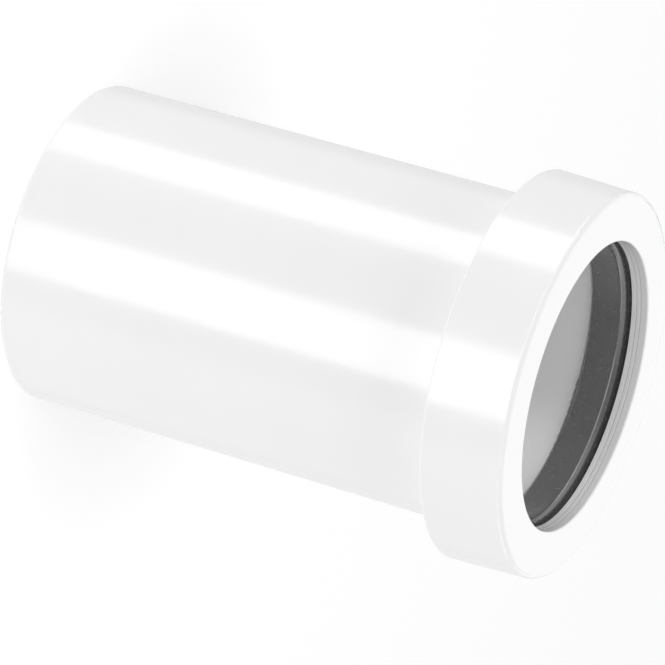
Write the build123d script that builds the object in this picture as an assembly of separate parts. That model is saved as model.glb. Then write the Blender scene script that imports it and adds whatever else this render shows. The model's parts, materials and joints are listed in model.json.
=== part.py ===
from build123d import *
import os

# Straight pipe connector. A plain tube that pushes into a socket carries at its other end a
# thicker collar with a mouth for a smaller pipe. Tube and collar are one plastic moulding, and
# a rubber ring sits in a groove behind the lip of the mouth, where it grips and seals the pipe.
# The connector stands on the plain end of its tube: +Z runs along its axis, up to the mouth.

# Tube, in millimetres
tube_outer_diameter = 50.0
tube_wall = 2.8
tube_length = 72.7

# Rubber ring, which has room in its groove to swell when a pipe goes in
seal_proud_of_bore = 0.7
seal_thickness = 5.35
seal_width = 5.55
seal_side_clearance = 0.05
seal_back_clearance = 0.05
seal_room_to_move = 0.9
seal_lead_in_depth = 0.6
seal_lead_in_height = 0.4

# Collar
lip_length = 2.7
collar_wall = 3.1
shoulder_thickness = 3.6
collar_taper_degrees = 2.0

# Fine lines turned into the bore of the lip, measured down from the mouth
upper_line_below_mouth = 1.25
lower_line_below_mouth = 1.95
line_width = 0.26
line_depth = 0.03

# Rounded edges of the moulding
tube_end_outer_rounding = 0.5
tube_end_bore_rounding = 0.3
collar_root_fillet = 0.4
collar_back_rounding = 0.35
mouth_outer_rounding = 0.8
mouth_bore_rounding = 0.25
groove_corner_fillet = 0.4
bore_top_rounding = 0.45

# Rounded edges of the ring
seal_crest_rounding = 0.7
seal_lead_in_rounding = 0.3
seal_back_rounding = 0.6
seal_outer_rounding = 0.6

# Radii
tube_radius = tube_outer_diameter / 2
bore_radius = tube_radius - tube_wall
seal_inner_radius = bore_radius - seal_proud_of_bore
seal_outer_radius = seal_inner_radius + seal_thickness
groove_radius = seal_outer_radius + seal_side_clearance
collar_back_radius = groove_radius + collar_wall

# Heights above the plain end of the tube
groove_bottom = tube_length + shoulder_thickness
seal_bottom = groove_bottom + seal_back_clearance
seal_top = seal_bottom + seal_width
groove_top = seal_top + seal_room_to_move
mouth_height = groove_top + lip_length
collar_length = mouth_height - tube_length


def tapered_radius():
    """Radius of the collar at the mouth, where the mould's draft has narrowed it."""
    slope = Axis((collar_back_radius, 0, tube_length), (0, 0, 1)).direction
    leaned = slope.rotate(Axis.Y, -collar_taper_degrees)
    return collar_back_radius + leaned.X / leaned.Z * collar_length


def rounded_section(corners, roundings):
    """Face in the XZ plane through the named corners, each rounded by its own radius."""
    outline = Polyline(*[(x, 0, z) for x, z in corners.values()], close=True)
    section = make_face(outline)
    for name, radius in roundings.items():
        x, z = corners[name]
        section = fillet(section.vertices().sort_by_distance((x, 0, z))[0], radius)
    return section


def fine_lines():
    """Two round tools, one for each fine line, that reach the line's depth into the lip."""
    tool_radius = (line_width**2 / 4 + line_depth**2) / (2 * line_depth)
    centre = bore_radius + line_depth - tool_radius
    heights = (mouth_height - upper_line_below_mouth, mouth_height - lower_line_below_mouth)
    return [Plane.XZ * Pos(centre, height) * Circle(tool_radius) for height in heights]


def pipe_body():
    """Tube and collar, turned about the axis as one moulding."""
    corners = {
        "end_bore": (bore_radius, 0),
        "end_outside": (tube_radius, 0),
        "collar_root": (tube_radius, tube_length),
        "collar_back": (collar_back_radius, tube_length),
        "mouth_outside": (tapered_radius(), mouth_height),
        "mouth_bore": (bore_radius, mouth_height),
        "lip_back": (bore_radius, groove_top),
        "groove_upper": (groove_radius, groove_top),
        "groove_lower": (groove_radius, groove_bottom),
        "bore_top": (bore_radius, groove_bottom),
    }
    roundings = {
        "end_bore": tube_end_bore_rounding,
        "end_outside": tube_end_outer_rounding,
        "collar_root": collar_root_fillet,
        "collar_back": collar_back_rounding,
        "mouth_outside": mouth_outer_rounding,
        "mouth_bore": mouth_bore_rounding,
        "groove_upper": groove_corner_fillet,
        "groove_lower": groove_corner_fillet,
        "bore_top": bore_top_rounding,
    }
    section = rounded_section(corners, roundings) - fine_lines()
    return revolve(section, Axis.Z)


def ring_seal():
    """Rubber ring with a sloped lead-in towards the mouth and a rounded back edge."""
    corners = {
        "back": (seal_inner_radius, seal_bottom),
        "outer_lower": (seal_outer_radius, seal_bottom),
        "outer_upper": (seal_outer_radius, seal_top),
        "lead_in": (seal_inner_radius + seal_lead_in_height, seal_top),
        "crest": (seal_inner_radius, seal_top - seal_lead_in_depth),
    }
    roundings = {
        "back": seal_back_rounding,
        "outer_lower": seal_outer_rounding,
        "outer_upper": seal_outer_rounding,
        "lead_in": seal_lead_in_rounding,
        "crest": seal_crest_rounding,
    }
    return revolve(rounded_section(corners, roundings), Axis.Z)


def main():
    os.makedirs("parts", exist_ok=True)
    for piece in (pipe_body, ring_seal):
        export_step(piece(), f"parts/{piece.__name__}.step")


main()
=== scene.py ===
import json
import math

import bmesh
import bpy
from bpy.props import FloatProperty, FloatVectorProperty, PointerProperty
from mathutils import Euler, Matrix, Vector


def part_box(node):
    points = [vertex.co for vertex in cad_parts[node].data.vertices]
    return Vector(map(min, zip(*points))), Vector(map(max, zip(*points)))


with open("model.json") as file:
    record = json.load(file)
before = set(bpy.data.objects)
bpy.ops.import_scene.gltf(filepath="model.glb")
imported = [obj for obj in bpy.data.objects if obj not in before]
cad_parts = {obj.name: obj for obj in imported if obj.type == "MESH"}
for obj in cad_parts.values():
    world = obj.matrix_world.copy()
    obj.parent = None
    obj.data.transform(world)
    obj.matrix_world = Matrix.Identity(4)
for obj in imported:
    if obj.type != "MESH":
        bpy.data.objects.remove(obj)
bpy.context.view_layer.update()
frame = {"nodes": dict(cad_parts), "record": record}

bl_info = {
    "name": "Straight pipe connector",
    "version": (1, 0, 0),
    "blender": (4, 5, 0),
    "location": "View3D > Sidebar > Pipe Connector",
    "description": "Dresses a moulded pipe connector and its rubber ring, and sets a plain "
                   "studio round them",
    "category": "Add Mesh",
}


def mount_radius(name):
    """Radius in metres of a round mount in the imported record."""
    mount = next(m for m in frame["record"]["mounts"] if m["name"] == name)
    return mount["dims"]["r_mm"] / 1000


def direction_of(azimuth, elevation):
    """Unit vector that way; azimuth 0 is +Y and 90 is +X, both angles in degrees."""
    turn = math.radians(azimuth)
    rise = math.radians(elevation)
    level = Vector((math.sin(turn), math.cos(turn), 0)) * math.cos(rise)
    return level + Vector((0, 0, math.sin(rise)))


BODY = "pipe_body"
SEAL = "ring_seal"
BODY_LOW, BODY_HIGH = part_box(BODY)
MOUTH = Vector((0, 0, BODY_HIGH.z))

# The bore of the lip stands this far outside the ring's own bore. All lengths are in metres.
RING_STANDS_PROUD = 0.0007
TUBE_RADIUS = mount_radius("spigot")
LIP_RADIUS = mount_radius("socket_seal") + RING_STANDS_PROUD

# The lip's two fine lines, darkened by painted shade. The painted shade ends within the wall, short
# of the collar's outside.
LINES_BELOW_MOUTH = (0.00125, 0.00195)
LINE_HALF_WIDTH = 0.00017
PAINTED_SHADE_FADES_FROM = TUBE_RADIUS - 0.002
PAINTED_SHADE_GONE_BY = TUBE_RADIUS - 0.001

# The ring's top gets painted light between these radii, behind the lip that shades it
PAINTED_LIGHT_STARTS = LIP_RADIUS + 0.0003
PAINTED_LIGHT_FULL = LIP_RADIUS + 0.0009

# Noise of each finish: features a metre, and levels of detail. Nearly all of its values lie
# between the low and the high one.
PLASTIC_SHADE_NOISE = (60, 2)
PLASTIC_SHINE_NOISE = (150, 3)
PLASTIC_RIPPLE_NOISE = (220, 1)
RUBBER_SHADE_NOISE = (3000, 2)
RUBBER_SHINE_NOISE = (1200, 2)
RUBBER_GRAIN_NOISE = (4000, 1)
NOISE_LOW = 0.3
NOISE_HIGH = 0.7

# What the noise does: lowest and highest share of the colour, and change of the roughness
PLASTIC_SHADES = (0.992, 1.004)
PLASTIC_SHINE = (-0.02, 0.03)
RUBBER_SHADES = (0.96, 1.05)
RUBBER_SHINE = (-0.03, 0.04)
PLASTIC_IOR = 1.49
RUBBER_IOR = 1.52
RUBBER_SPECULAR = 1.0

WHITE = (1, 1, 1, 1)
BLACK = (0, 0, 0, 1)

# The surroundings run from the horizon's level to the zenith's between these sines of elevation
SKY_CHANGE_STARTS = 0.3
SKY_CHANGE_ENDS = 0.7

# Places where reflections find the surroundings darker: half the angle across, in degrees, and
# the level in the middle, which holds over that share of the angle.
DULL_PLACES = (
    {"towards": direction_of(-26, -22), "reach": 24, "level": 0.72},
    {"towards": direction_of(25, -22), "reach": 24, "level": 0.88},
    {"towards": direction_of(136, -21), "reach": 16, "level": 0.4},
    {"towards": direction_of(-156, -22), "reach": 24, "level": 0.5},
    {"towards": direction_of(180, 60), "reach": 40, "level": 0.15},
)
DULL_MIDDLE = 0.25

# The floor lies just under the tube's end, and whitens for the camera between two radii
FLOOR_COLOUR = (0.85, 0.85, 0.85)
FLOOR_GAP = 0.00002
FLOOR_SIDES = 64
FLOOR_FADE_START = 0.25
FLOOR_FADE_END = 1.2

# Upright strips and cards round the part: azimuth and half the angle across in degrees, heights
# of the lower and upper edge in metres, and share of the strips' level. Reflections don't show
# the floor, so the strips reach below it.
STRIP_DISTANCE = 0.5
STRIPS = {
    "strip_above": {"azimuth": -109.5, "half_width": 13, "low": -0.255, "high": 0.26, "share": 1},
    "strip_front": {"azimuth": 167, "half_width": 18, "low": -0.255, "high": 0.26, "share": 1},
    "mouth_card": {"azimuth": 0, "half_width": 38, "low": 0.17, "high": 0.46, "share": 0.34},
    "ring_card_front": {"azimuth": -165, "half_width": 35, "low": 0.14, "high": 0.24, "share": 1.1},
    "ring_card_left": {"azimuth": -101, "half_width": 29, "low": 0.14, "high": 0.24, "share": 1.1},
    "ring_card_right": {"azimuth": 85, "half_width": 30, "low": 0.14, "high": 0.24, "share": 0.7},
}

OVERHEAD_SIDE = direction_of(180, 74)
MOUTH_LAMP_SIDE = direction_of(-140, 32)
MOUTH_LAMP_DISTANCE = 0.6
MOUTH_LAMP_RADIUS = 0.004
MOUTH_BEAM_ANGLE = math.radians(2.4)

CAMERA_PLACE = Vector((0.00264, -0.64678, 0.30918))
CAMERA_ELEVATION = math.radians(22.282)
CAMERA_ROLL = math.radians(106.08)
CAMERA_SENSOR = 36
CAMERA_NEAREST = 0.01
CAMERA_FARTHEST = 50


class PlasticSettings(bpy.types.PropertyGroup):
    """Finish of the white moulding."""

    colour: FloatVectorProperty(
        name="Colour", description="Colour of the plastic", subtype="COLOR",
        size=3, min=0, max=1, default=(0.87, 0.87, 0.87))
    gloss_roughness: FloatProperty(
        name="Roughness", description="How blurred the reflections are", subtype="FACTOR",
        min=0, max=1, default=0.17)
    # Painted shade: share of the colour left in the lip's two fine lines.
    lines_painted_shade: FloatProperty(
        name="Line shade", description="Share of the colour left in the fine lines of the lip",
        subtype="FACTOR", min=0, max=1, default=0.84)
    ripple_height: FloatProperty(
        name="Ripple height", description="Height of the faint ripple left by the mould",
        subtype="DISTANCE", unit="LENGTH", min=0, default=0.000004)


class RubberSettings(bpy.types.PropertyGroup):
    """Finish of the sealing ring."""

    colour: FloatVectorProperty(
        name="Colour", description="Colour of the rubber", subtype="COLOR",
        size=3, min=0, max=1, default=(0.115, 0.115, 0.115))
    roughness: FloatProperty(
        name="Roughness", description="How dull the rubber is", subtype="FACTOR",
        min=0, max=1, default=0.24)
    # Painted light on the ring's top, which lies in the lip's shade.
    top_painted_light: FloatProperty(
        name="Top shade", min=0, max=8, default=2.6,
        description="Colour of the ring's dusty top as a share of the rubber's colour")
    grain_height: FloatProperty(
        name="Grain height", description="Height of the rubber's fine grain",
        subtype="DISTANCE", unit="LENGTH", min=0, default=0.000001)


class StudioSettings(bpy.types.PropertyGroup):
    """Floor, surroundings, lamps and camera."""

    floor_radius: FloatProperty(
        name="Floor radius", description="Radius of the round floor",
        subtype="DISTANCE", unit="LENGTH", min=0.1, default=4.0)
    floor_glow: FloatProperty(
        name="Floor glow", description="Light that the floor gives off", min=0, default=0.42)
    floor_whitening: FloatProperty(
        name="Floor whitening", min=0, default=0.22,
        description="Glow that the camera sees on the floor round the part")
    far_whitening: FloatProperty(
        name="Far whitening", min=0, default=0.42,
        description="Glow that the camera sees on the floor far away")
    horizon_level: FloatProperty(
        name="Horizon level", min=0, default=0.72,
        description="Brightness of the surroundings near the horizon")
    zenith_level: FloatProperty(
        name="Zenith level", min=0, default=0.7,
        description="Brightness of the surroundings overhead")
    strip_level: FloatProperty(
        name="Strip level", description="Brightness of the strips", min=0, default=4.5)
    overhead_level: FloatProperty(
        name="Overhead level", description="Brightness of the lamp above", min=0, default=3.9)
    overhead_size: FloatProperty(
        name="Overhead size", description="Diameter of the lamp above",
        subtype="DISTANCE", unit="LENGTH", min=0.01, default=0.6)
    overhead_distance: FloatProperty(
        name="Overhead distance", description="Distance of the lamp above from the mouth",
        subtype="DISTANCE", unit="LENGTH", min=0.1, default=1.1)
    mouth_lamp_power: FloatProperty(
        name="Mouth lamp", description="Power of the soft lamp that shines into the mouth",
        subtype="POWER", unit="POWER", min=0, default=3.0)
    lens: FloatProperty(
        name="Lens", description="Focal length of the camera on its 36 mm sensor, in millimetres",
        min=1, default=250.9)


def new_material(name, colour):
    """Material with a Principled shader, and its node tree and that shader's node."""
    material = bpy.data.materials.new(name)
    material.use_nodes = True
    material.diffuse_color = (*colour, 1)
    tree = material.node_tree
    return material, tree, tree.nodes["Principled BSDF"]


def calculate(tree, operation, first, second):
    """Result of a sum on two values."""
    node = tree.nodes.new("ShaderNodeMath")
    node.operation = operation
    tree.links.new(first, node.inputs[0])
    tree.links.new(second, node.inputs[1])
    return node.outputs["Value"]


def distance_to(tree, value, target):
    """How far the value is from the target number."""
    away = tree.nodes.new("ShaderNodeMath")
    away.operation = "SUBTRACT"
    away.inputs[1].default_value = target
    tree.links.new(value, away.inputs[0])
    distance = tree.nodes.new("ShaderNodeMath")
    distance.operation = "ABSOLUTE"
    tree.links.new(away.outputs["Value"], distance.inputs[0])
    return distance.outputs["Value"]


def smooth_range(tree, value, start, end, at_start, at_end):
    """Value that runs smoothly from at_start to at_end between start and end."""
    node = tree.nodes.new("ShaderNodeMapRange")
    node.interpolation_type = "SMOOTHSTEP"
    node.inputs["From Min"].default_value = start
    node.inputs["From Max"].default_value = end
    node.inputs["To Min"].default_value = at_start
    node.inputs["To Max"].default_value = at_end
    tree.links.new(value, node.inputs["Value"])
    return node.outputs["Result"]


def choose(tree, switch, when_off, when_on):
    """One of two numbers or values, by a switch of 0 or 1."""
    node = tree.nodes.new("ShaderNodeMix")
    tree.links.new(switch, node.inputs["Factor"])
    for socket, value in ((node.inputs["A"], when_off), (node.inputs["B"], when_on)):
        if isinstance(value, (int, float)):
            socket.default_value = value
        else:
            tree.links.new(value, socket)
    return node.outputs["Result"]


def noise(tree, features, detail):
    """Noise texture on the object's own coordinates."""
    coordinates = tree.nodes.new("ShaderNodeTexCoord")
    texture = tree.nodes.new("ShaderNodeTexNoise")
    texture.inputs["Scale"].default_value = features
    texture.inputs["Detail"].default_value = detail
    tree.links.new(coordinates.outputs["Object"], texture.inputs["Vector"])
    return texture.outputs["Fac"]


def spread(tree, value, lowest, highest):
    """The same noise between two other values."""
    node = tree.nodes.new("ShaderNodeMapRange")
    node.inputs["From Min"].default_value = NOISE_LOW
    node.inputs["From Max"].default_value = NOISE_HIGH
    node.inputs["To Min"].default_value = lowest
    node.inputs["To Max"].default_value = highest
    tree.links.new(value, node.inputs["Value"])
    return node.outputs["Result"]


def tint(tree, colour, share):
    """The colour times a share that varies over the surface."""
    node = tree.nodes.new("ShaderNodeVectorMath")
    node.operation = "SCALE"
    node.inputs[0].default_value = colour
    tree.links.new(share, node.inputs["Scale"])
    return node.outputs["Vector"]


def bump(tree, shader, height, metres):
    """Bumps of that height, in metres, on the shader."""
    node = tree.nodes.new("ShaderNodeBump")
    node.inputs["Strength"].default_value = 1.0
    node.inputs["Distance"].default_value = metres
    tree.links.new(height, node.inputs["Height"])
    tree.links.new(node.outputs["Normal"], shader.inputs["Normal"])


def own_coordinates(tree):
    """The object's own X, Y and Z, with Z up the part's axis from the plain end of the tube."""
    coordinates = tree.nodes.new("ShaderNodeTexCoord")
    split = tree.nodes.new("ShaderNodeSeparateXYZ")
    tree.links.new(coordinates.outputs["Object"], split.inputs["Vector"])
    return split.outputs


def distance_from_axis(tree, own):
    """Distance from the part's axis, from the object's own X and Y."""
    flat = tree.nodes.new("ShaderNodeCombineXYZ")
    tree.links.new(own["X"], flat.inputs["X"])
    tree.links.new(own["Y"], flat.inputs["Y"])
    radius = tree.nodes.new("ShaderNodeVectorMath")
    radius.operation = "LENGTH"
    tree.links.new(flat.outputs["Vector"], radius.inputs[0])
    return radius.outputs["Value"]


def shade_painted_in_lines(tree, lines_painted_shade):
    """Share of the colour left by the painted shade in the fine lines of the lip."""
    own = own_coordinates(tree)
    in_bore = smooth_range(
        tree, distance_from_axis(tree, own), PAINTED_SHADE_FADES_FROM, PAINTED_SHADE_GONE_BY, 1.0, 0.0)
    kept_share = None
    for below_mouth in LINES_BELOW_MOUTH:
        distance = distance_to(tree, own["Z"], MOUTH.z - below_mouth)
        line = smooth_range(tree, distance, LINE_HALF_WIDTH / 2, LINE_HALF_WIDTH, 1.0, 0.0)
        # Painted shade falls on each line, only within the wall.
        painted_shade_mask = calculate(tree, "MULTIPLY", line, in_bore)
        share = smooth_range(tree, painted_shade_mask, 0.0, 1.0, 1.0, lines_painted_shade)
        kept_share = share if kept_share is None else calculate(tree, "MULTIPLY", kept_share, share)
    return kept_share


def painted_light_top(tree, top_painted_light):
    """Share of the colour on the ring, with painted light that makes the flat top that the lip
    shades paler.
    """
    radius = distance_from_axis(tree, own_coordinates(tree))
    return smooth_range(tree, radius, PAINTED_LIGHT_STARTS, PAINTED_LIGHT_FULL, 1.0, top_painted_light)


def stray(middle, change):
    """Lowest and highest value round the middle one."""
    return middle + change[0], middle + change[1]


def white_plastic(settings):
    """Glossy white plastic with a faint ripple, an uneven shine and painted shade in its fine
    lines.
    """
    colour = tuple(settings.colour)
    material, tree, shader = new_material("white_plastic_finish", colour)
    shader.inputs["IOR"].default_value = PLASTIC_IOR
    # Random tone, times the painted shade in the lip's fine lines.
    shade = calculate(
        tree, "MULTIPLY", spread(tree, noise(tree, *PLASTIC_SHADE_NOISE), *PLASTIC_SHADES),
        shade_painted_in_lines(tree, settings.lines_painted_shade))
    tree.links.new(tint(tree, colour, shade), shader.inputs["Base Color"])
    shine = stray(settings.gloss_roughness, PLASTIC_SHINE)
    tree.links.new(
        spread(tree, noise(tree, *PLASTIC_SHINE_NOISE), *shine), shader.inputs["Roughness"])
    bump(tree, shader, noise(tree, *PLASTIC_RIPPLE_NOISE), settings.ripple_height)
    return material


def dark_rubber(settings):
    """Satin moulded rubber with a fine grain and painted light on its shaded top."""
    colour = tuple(settings.colour)
    material, tree, shader = new_material("dark_rubber_finish", colour)
    shader.inputs["IOR"].default_value = RUBBER_IOR
    shader.inputs["Specular IOR Level"].default_value = RUBBER_SPECULAR
    # Random tone, times the painted light on the ring's shaded top.
    shade = calculate(
        tree, "MULTIPLY", spread(tree, noise(tree, *RUBBER_SHADE_NOISE), *RUBBER_SHADES),
        painted_light_top(tree, settings.top_painted_light))
    tree.links.new(tint(tree, colour, shade), shader.inputs["Base Color"])
    shine = stray(settings.roughness, RUBBER_SHINE)
    tree.links.new(
        spread(tree, noise(tree, *RUBBER_SHINE_NOISE), *shine), shader.inputs["Roughness"])
    bump(tree, shader, noise(tree, *RUBBER_GRAIN_NOISE), settings.grain_height)
    return material


def dress(node, material):
    """Gives a node of the frame its finish."""
    piece = frame["nodes"][node]
    piece.data.materials.clear()
    piece.data.materials.append(material)


def dull_places(tree, direction):
    """Level of the surroundings in reflections, which is 1 away from the dull places."""
    level = None
    for place in DULL_PLACES:
        towards = tree.nodes.new("ShaderNodeVectorMath")
        towards.operation = "DOT_PRODUCT"
        towards.inputs[1].default_value = place["towards"]
        tree.links.new(direction, towards.inputs[0])
        edge = math.cos(math.radians(place["reach"]))
        middle = math.cos(math.radians(place["reach"] * DULL_MIDDLE))
        spot = smooth_range(tree, towards.outputs["Value"], edge, middle, 1.0, place["level"])
        level = spot if level is None else calculate(tree, "MULTIPLY", level, spot)
    return level


def make_world(settings):
    """White surroundings, with dull places that only reflections show."""
    world = bpy.data.worlds.new("studio_white")
    bpy.context.scene.world = world
    world.use_nodes = True
    tree = world.node_tree
    background = tree.nodes["Background"]
    background.inputs["Color"].default_value = WHITE
    direction = tree.nodes.new("ShaderNodeTexCoord").outputs["Generated"]
    split = tree.nodes.new("ShaderNodeSeparateXYZ")
    tree.links.new(direction, split.inputs["Vector"])
    lighting = smooth_range(
        tree, split.outputs["Z"], SKY_CHANGE_STARTS, SKY_CHANGE_ENDS,
        settings.horizon_level, settings.zenith_level)
    path = tree.nodes.new("ShaderNodeLightPath")
    strength = choose(tree, path.outputs["Is Glossy Ray"], lighting, dull_places(tree, direction))
    strength = choose(tree, path.outputs["Is Camera Ray"], strength, 1.0)
    tree.links.new(strength, background.inputs["Strength"])


def floor_material(settings):
    """White floor that glows softly and keeps shadows; the camera sees a glow of its own."""
    material, tree, shader = new_material("floor_white", FLOOR_COLOUR)
    shader.inputs["Base Color"].default_value = (*FLOOR_COLOUR, 1)
    shader.inputs["Roughness"].default_value = 1.0
    shader.inputs["Specular IOR Level"].default_value = 0.0
    path = tree.nodes.new("ShaderNodeLightPath")
    whitening = smooth_range(
        tree, distance_from_axis(tree, own_coordinates(tree)), FLOOR_FADE_START, FLOOR_FADE_END,
        settings.floor_whitening, settings.far_whitening)
    glow = choose(tree, path.outputs["Is Camera Ray"], settings.floor_glow, whitening)
    shader.inputs["Emission Color"].default_value = WHITE
    tree.links.new(glow, shader.inputs["Emission Strength"])
    return material


def glow_material(name, level):
    """Black material that gives off an even white light."""
    material, tree, shader = new_material(name, WHITE[:3])
    shader.inputs["Base Color"].default_value = BLACK
    shader.inputs["Specular IOR Level"].default_value = 0.0
    shader.inputs["Emission Color"].default_value = WHITE
    shader.inputs["Emission Strength"].default_value = level
    material.cycles.emission_sampling = "NONE"
    return material


def stage_object(name, shape, material):
    """Object of the stage from a finished bmesh."""
    mesh = bpy.data.meshes.new(name)
    shape.to_mesh(mesh)
    shape.free()
    made = bpy.data.objects.new(name, mesh)
    bpy.context.scene.collection.objects.link(made)
    made.data.materials.append(material)
    return made


def make_floor(settings):
    """Round white floor under the end of the tube."""
    shape = bmesh.new()
    bmesh.ops.create_circle(
        shape, cap_ends=True, segments=FLOOR_SIDES, radius=settings.floor_radius,
        matrix=Matrix.Translation((0, 0, BODY_LOW.z - FLOOR_GAP)))
    floor = stage_object("studio_floor", shape, floor_material(settings))
    floor.visible_glossy = False


def make_strip(name, strip_level, azimuth, half_width, low, high, share):
    """Upright strip that faces the axis, glows evenly and shows only in reflections."""
    away = direction_of(azimuth, 0)
    width = STRIP_DISTANCE * math.tan(math.radians(half_width))
    place = Matrix.Translation(away * STRIP_DISTANCE + Vector((0, 0, (low + high) / 2)))
    turn = away.to_track_quat("Z", "Y").to_matrix().to_4x4()
    shape = bmesh.new()
    bmesh.ops.create_grid(shape, x_segments=1, y_segments=1, size=1.0)
    bmesh.ops.scale(shape, verts=shape.verts, vec=(width, (high - low) / 2, 1))
    bmesh.ops.transform(shape, matrix=place @ turn, verts=shape.verts)
    strip = stage_object(name, shape, glow_material(name + "_glow", strip_level * share))
    strip.visible_camera = False
    strip.visible_diffuse = False
    strip.visible_transmission = False
    strip.visible_shadow = False


def hang_lamp(name, lamp, side, distance):
    """Hangs a lamp on that side of the mouth, turned to it and hidden from view."""
    hung = bpy.data.objects.new(name, lamp)
    bpy.context.scene.collection.objects.link(hung)
    hung.location = side * distance + MOUTH
    hung.rotation_mode = "QUATERNION"
    hung.rotation_quaternion = side.to_track_quat("Z", "Y")
    hung.visible_camera = False
    hung.visible_glossy = False


def make_overhead(settings):
    """Soft lamp almost straight above, which lights the mouth and throws the floor's shadow."""
    lamp = bpy.data.lights.new("overhead", "AREA")
    lamp.shape = "DISK"
    lamp.size = settings.overhead_size
    area = math.pi * (settings.overhead_size / 2) ** 2
    lamp.energy = settings.overhead_level * math.pi * area
    hang_lamp("overhead", lamp, OVERHEAD_SIDE, settings.overhead_distance)


def make_mouth_lamp(settings):
    """Weak soft beam that falls through the mouth on one side of the bore."""
    lamp = bpy.data.lights.new("mouth_lamp", "SPOT")
    lamp.energy = settings.mouth_lamp_power
    lamp.spot_size = MOUTH_BEAM_ANGLE
    lamp.spot_blend = 1.0
    lamp.shadow_soft_size = MOUTH_LAMP_RADIUS
    hang_lamp("mouth_lamp", lamp, MOUTH_LAMP_SIDE, MOUTH_LAMP_DISTANCE)


def make_camera(lens):
    """Camera that looks down on the part, rolled so that the mouth faces right."""
    data = bpy.data.cameras.new("camera")
    data.lens = lens
    data.sensor_width = CAMERA_SENSOR
    data.clip_start = CAMERA_NEAREST
    data.clip_end = CAMERA_FARTHEST
    camera = bpy.data.objects.new("camera", data)
    bpy.context.scene.collection.objects.link(camera)
    camera.location = CAMERA_PLACE
    level = Euler((math.radians(90) - CAMERA_ELEVATION, 0, 0)).to_matrix()
    camera.rotation_mode = "QUATERNION"
    camera.rotation_quaternion = (level @ Matrix.Rotation(CAMERA_ROLL, 3, "Z")).to_quaternion()
    bpy.context.scene.camera = camera


class PIPECONNECTOR_OT_pipe_body(bpy.types.Operator):
    """Give the white moulding its finish"""

    bl_idname = "pipe_connector.pipe_body"
    bl_label = "Pipe Body"

    def execute(self, context):
        dress(BODY, white_plastic(context.scene.connector_plastic))
        return {"FINISHED"}


class PIPECONNECTOR_OT_ring_seal(bpy.types.Operator):
    """Give the sealing ring its finish"""

    bl_idname = "pipe_connector.ring_seal"
    bl_label = "Sealing Ring"

    def execute(self, context):
        dress(SEAL, dark_rubber(context.scene.connector_rubber))
        return {"FINISHED"}


class PIPECONNECTOR_OT_stage(bpy.types.Operator):
    """Make the surroundings, the floor, the lamps and the camera"""

    bl_idname = "pipe_connector.stage"
    bl_label = "Studio"

    def execute(self, context):
        settings = context.scene.connector_studio
        context.scene.view_settings.view_transform = "Standard"
        make_world(settings)
        make_floor(settings)
        make_overhead(settings)
        make_mouth_lamp(settings)
        for name, strip in STRIPS.items():
            make_strip(name, settings.strip_level, **strip)
        make_camera(settings.lens)
        return {"FINISHED"}


class PIPECONNECTOR_PT_panel(bpy.types.Panel):
    """Sizes and finishes of the pipe connector"""

    bl_idname = "PIPECONNECTOR_PT_panel"
    bl_label = "Pipe Connector"
    bl_space_type = "VIEW_3D"
    bl_region_type = "UI"
    bl_category = "Pipe Connector"

    def draw(self, context):
        column = self.layout.column()
        for operator, group in PANEL_ROWS:
            column.operator(operator.bl_idname)
            settings = getattr(context.scene, group)
            for name in settings.__annotations__:
                column.prop(settings, name)


PANEL_ROWS = (
    (PIPECONNECTOR_OT_pipe_body, "connector_plastic"),
    (PIPECONNECTOR_OT_ring_seal, "connector_rubber"),
    (PIPECONNECTOR_OT_stage, "connector_studio"),
)
GROUPS = {
    "connector_plastic": PlasticSettings,
    "connector_rubber": RubberSettings,
    "connector_studio": StudioSettings,
}
CLASSES = (
    *GROUPS.values(),
    PIPECONNECTOR_OT_pipe_body,
    PIPECONNECTOR_OT_ring_seal,
    PIPECONNECTOR_OT_stage,
    PIPECONNECTOR_PT_panel,
)


def register():
    for each in CLASSES:
        bpy.utils.register_class(each)
    for name, group in GROUPS.items():
        setattr(bpy.types.Scene, name, PointerProperty(type=group))


def unregister():
    for name in GROUPS:
        delattr(bpy.types.Scene, name)
    for each in reversed(CLASSES):
        bpy.utils.unregister_class(each)


def main():
    register()
    bpy.ops.pipe_connector.pipe_body()
    bpy.ops.pipe_connector.ring_seal()
    bpy.ops.pipe_connector.stage()


if __name__ == "__main__":
    main()
